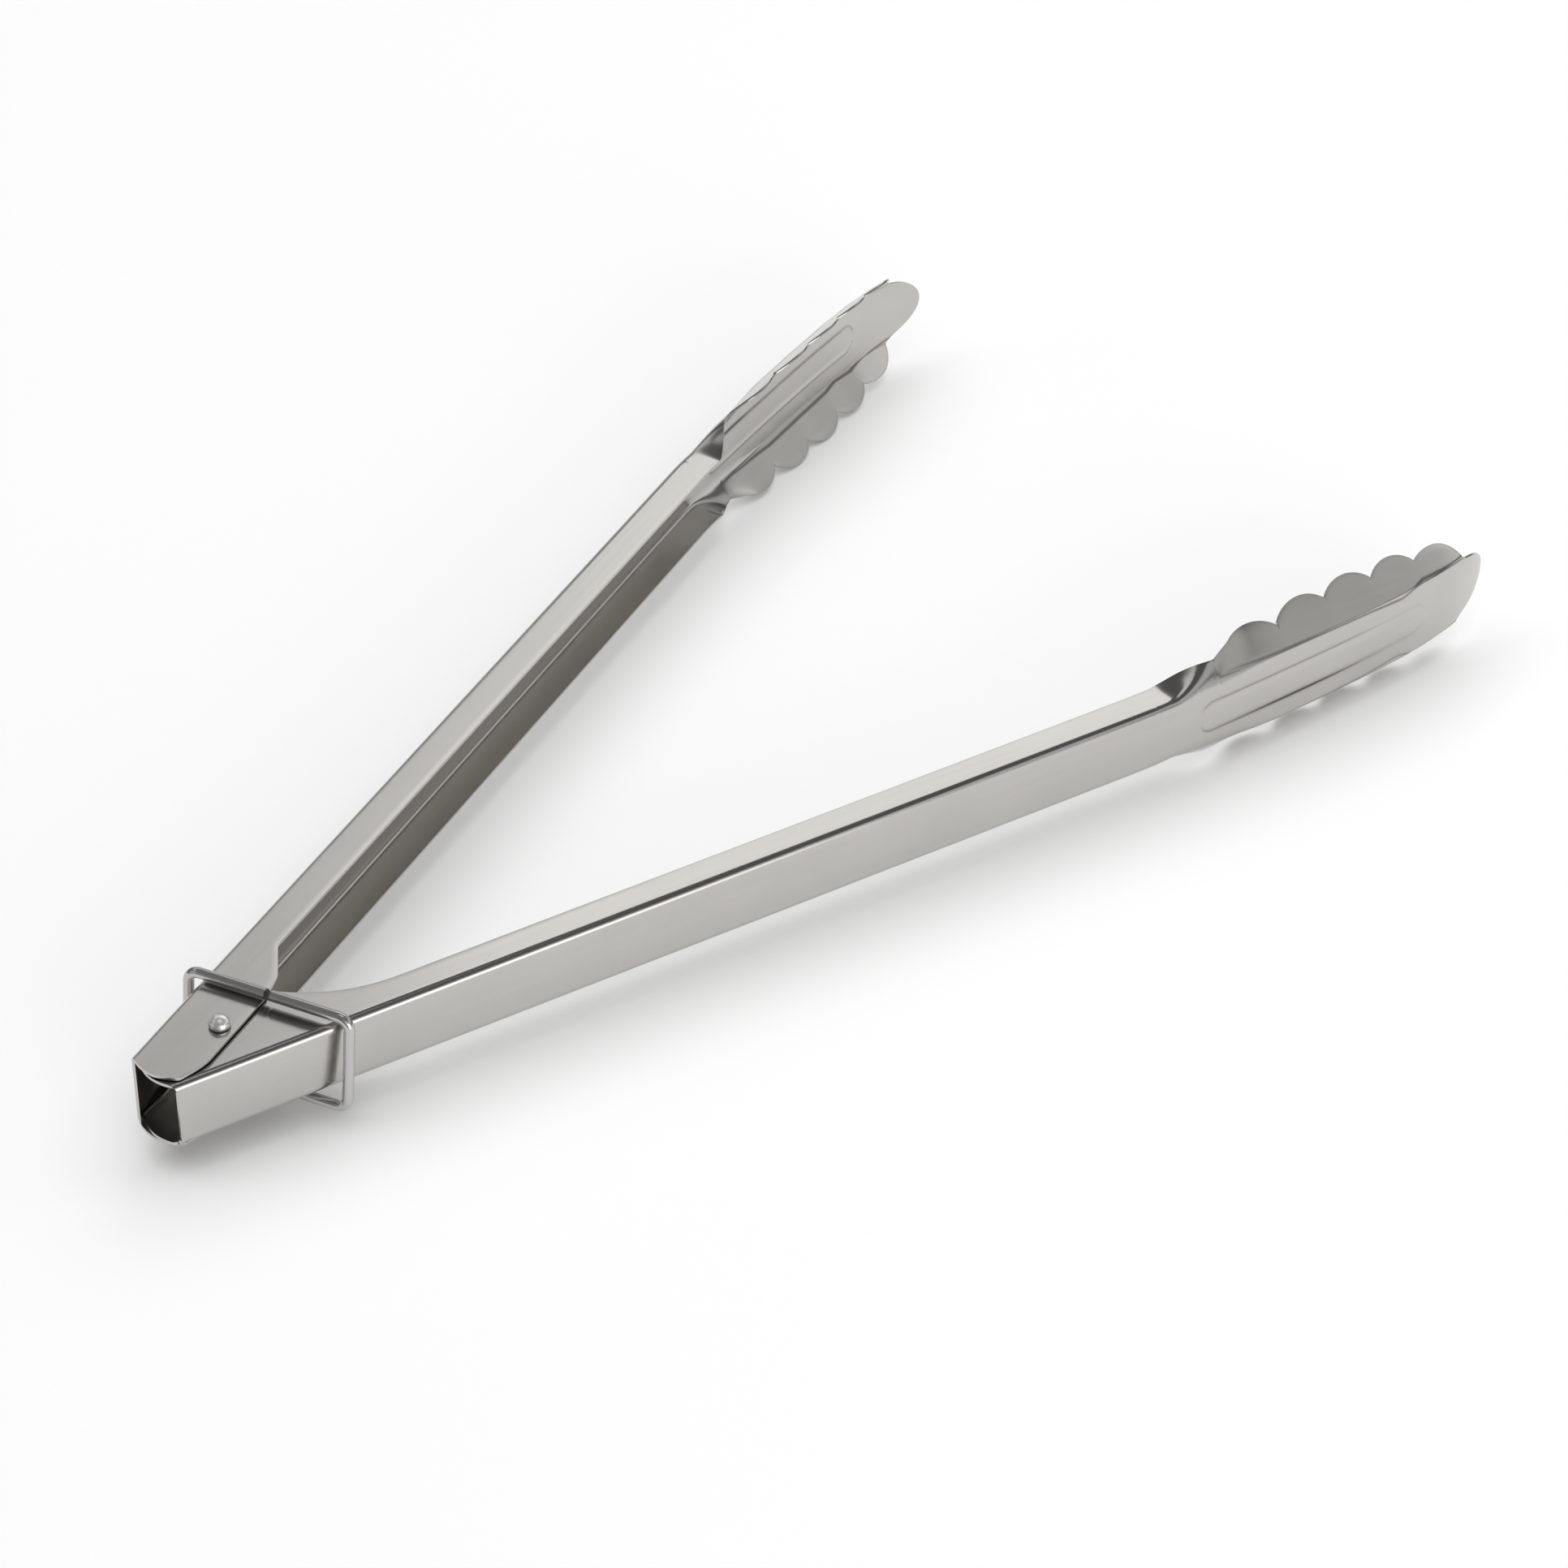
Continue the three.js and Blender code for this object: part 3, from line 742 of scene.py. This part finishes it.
def build_tongs():
    steel = sheet_steel()
    ring_steel = wire_steel("bright_drawn_wire", 0.45, 0.60, 0.12, 0.88)
    spring_steel = wire_steel("spring_wire", 0.42, 0.55, 0.22)
    rivet_steel = wire_steel("polished_rivet", 0.74, 0.84, 0.2, 0.75)
    for arm in (INNER_ARM, OUTER_ARM):
        mesh = build_sheet(arm, 44)
        piece = add_object(arm["name"] + "_sheet", mesh, steel, arm["body"], arm["name"])
        drill(piece)
        piece.data.set_sharp_from_angle(angle=SMOOTH_UP_TO)
    ring = add_object("lock_ring_wire", swept_wire("lock_ring_wire", ring_path(), RING["wire"], 24),
                      ring_steel, "ring", "lock_ring")
    ring.data.set_sharp_from_angle(angle=SMOOTH_UP_TO)
    spring_mesh = swept_wire("torsion_spring_wire", spring_path(), SPRING["wire"], 14)
    spring = add_object("torsion_spring_wire", spring_mesh,
                        spring_steel, "pivot", "torsion_spring")
    spring.data.set_sharp_from_angle(angle=SMOOTH_UP_TO)
    rivet = add_object("rivet_turned", turned_piece("rivet_turned", rivet_profile(), 40),
                       rivet_steel, "pivot", "pivot_rivet")
    rivet.data.set_sharp_from_angle(angle=SMOOTH_UP_TO)


# ---------------------------------------------------------------- floor, light, camera

def build_floor():
    bpy.ops.mesh.primitive_plane_add(size=8, location=(0, 0, -0.0005))
    floor = bpy.context.object
    floor.name = "floor"
    m = Nodes("pale_floor")
    m.set(m.shader, "Base Color", (0.93, 0.93, 0.93, 1))
    m.set(m.shader, "Roughness", 0.9)
    m.set(m.shader, "Specular IOR Level", 0.1)
    floor.data.materials.append(m.material)


def panel(name, azimuth, elevation, distance, size, brightness, diffuse_only=False):
    """A soft light panel that faces the object, placed by its direction from the object."""
    a, e = math.radians(azimuth), math.radians(elevation)
    place = Vector((math.cos(e) * math.cos(a), math.cos(e) * math.sin(a), math.sin(e))) * distance
    light = bpy.data.lights.new(name, "AREA")
    light.shape = "RECTANGLE"
    light.size, light.size_y = size
    light.energy = brightness * math.pi * size[0] * size[1]
    lamp = bpy.data.objects.new(name, light)
    bpy.context.scene.collection.objects.link(lamp)
    lamp.location = place
    lamp.rotation_euler = (-place).to_track_quat("-Z", "Y").to_euler()
    lamp.visible_glossy = not diffuse_only
    lamp.visible_camera = False


def build_light():
    world = bpy.data.worlds.new("studio")
    bpy.context.scene.world = world
    world.use_nodes = True
    background = world.node_tree.nodes["Background"]
    background.inputs["Color"].default_value = (1, 1, 1, 1)
    background.inputs["Strength"].default_value = 0.11
    panel("overhead", 0, 90, 2.2, (4.0, 4.0), 1.3, diffuse_only=True)
    panel("far", 27, 38, 2.2, (1.36, 0.95), 1.25)
    panel("far_dim", 68, 38, 2.2, (1.2, 0.95), 0.62)
    panel("side", -14, 29, 2.4, (1.7, 1.3), 0.5)
    panel("near_low", -104, 13, 2.0, (1.6, 1.0), 2.2)
    panel("zenith", 0, 90, 2.3, (1.0, 1.0), 0.8)
    panel("back", 238, 27, 2.8, (2.4, 1.2), 0.6)
    panel("far_low", 45, 11, 2.8, (2.8, 0.8), 0.4)
    panel("left", 152, 18, 2.8, (1.6, 0.9), 0.55)
    panel("upper_left", 120, 43, 2.5, (1.6, 0.6), 0.5)
    panel("near_low_dim", -66, 8, 2.1, (0.9, 0.6), 0.55)
    panel("near_middle", -60, 33, 2.3, (2.4, 0.9), 0.5)
    bpy.context.scene.view_settings.view_transform = "Standard"


def build_camera():
    """The view: from behind the pivot end, looking down along the tongs."""
    heading = math.radians(42.3842)
    downward = math.radians(37.6805)
    right = Vector((math.sin(heading), -math.cos(heading), 0.0))
    level = Vector((math.cos(heading), math.sin(heading), 0.0))
    forward = level * math.cos(downward) - Vector((0, 0, math.sin(downward)))
    up = right.cross(forward)
    camera = bpy.data.objects.new("camera", bpy.data.cameras.new("camera"))
    bpy.context.scene.collection.objects.link(camera)
    place = PIVOT + Vector((-581.79, -713.79, 787.28)) * MM
    camera.matrix_world = Matrix((
        (right.x, up.x, -forward.x, place.x),
        (right.y, up.y, -forward.y, place.y),
        (right.z, up.z, -forward.z, place.z),
        (0, 0, 0, 1),
    ))
    camera.data.sensor_width = 36
    camera.data.lens = 114.67
    camera.data.clip_start = 0.05
    bpy.context.scene.camera = camera


build_tongs()
build_floor()
build_light()
build_camera()
